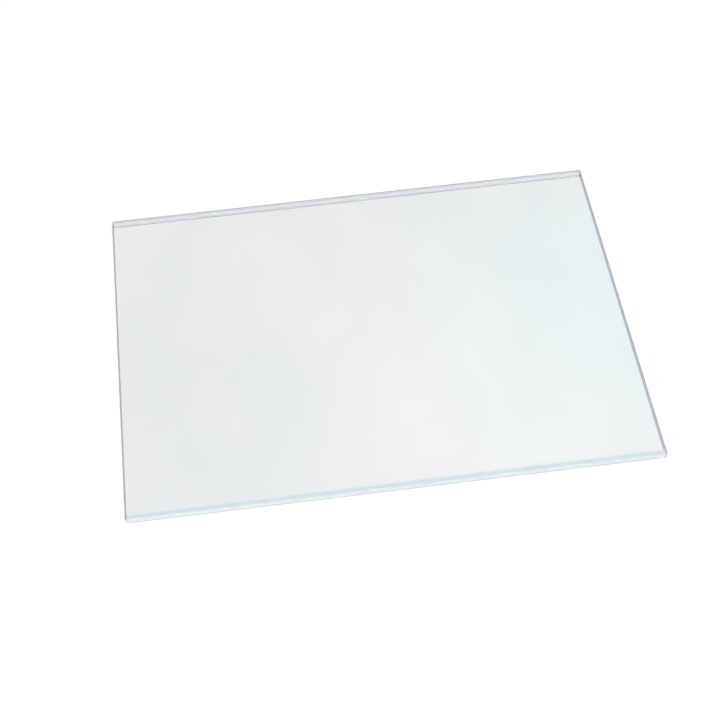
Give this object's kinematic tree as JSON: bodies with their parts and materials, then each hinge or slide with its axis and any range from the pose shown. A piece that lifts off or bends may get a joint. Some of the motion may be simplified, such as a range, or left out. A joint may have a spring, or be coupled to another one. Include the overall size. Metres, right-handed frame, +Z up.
{
  "type": "fridge glass shelf",
  "caption": "Flat rectangular pane of clear tempered glass with a slim clear plastic channel pushed onto its front and rear edges, laid on ledges inside a fridge to carry food.",
  "frame": {"origin": "centre of the shelf's outline, on the surface that the shelf lies on", "axes": "+X to the right along the front edge, +Y from the front edge to the rear edge, +Z up"},
  "size_m": [0.47, 0.356, 0.0058],
  "materials": {
    "glass": "clear float glass, pale blue-green in its edges",
    "clear_trim": "clear extruded plastic, smooth, faintly lined along its length"
  },
  "bodies": {
    "root": {"glass_pane": "glass", "front_trim": "clear_trim", "rear_trim": "clear_trim"}
  },
  "joints": []
}
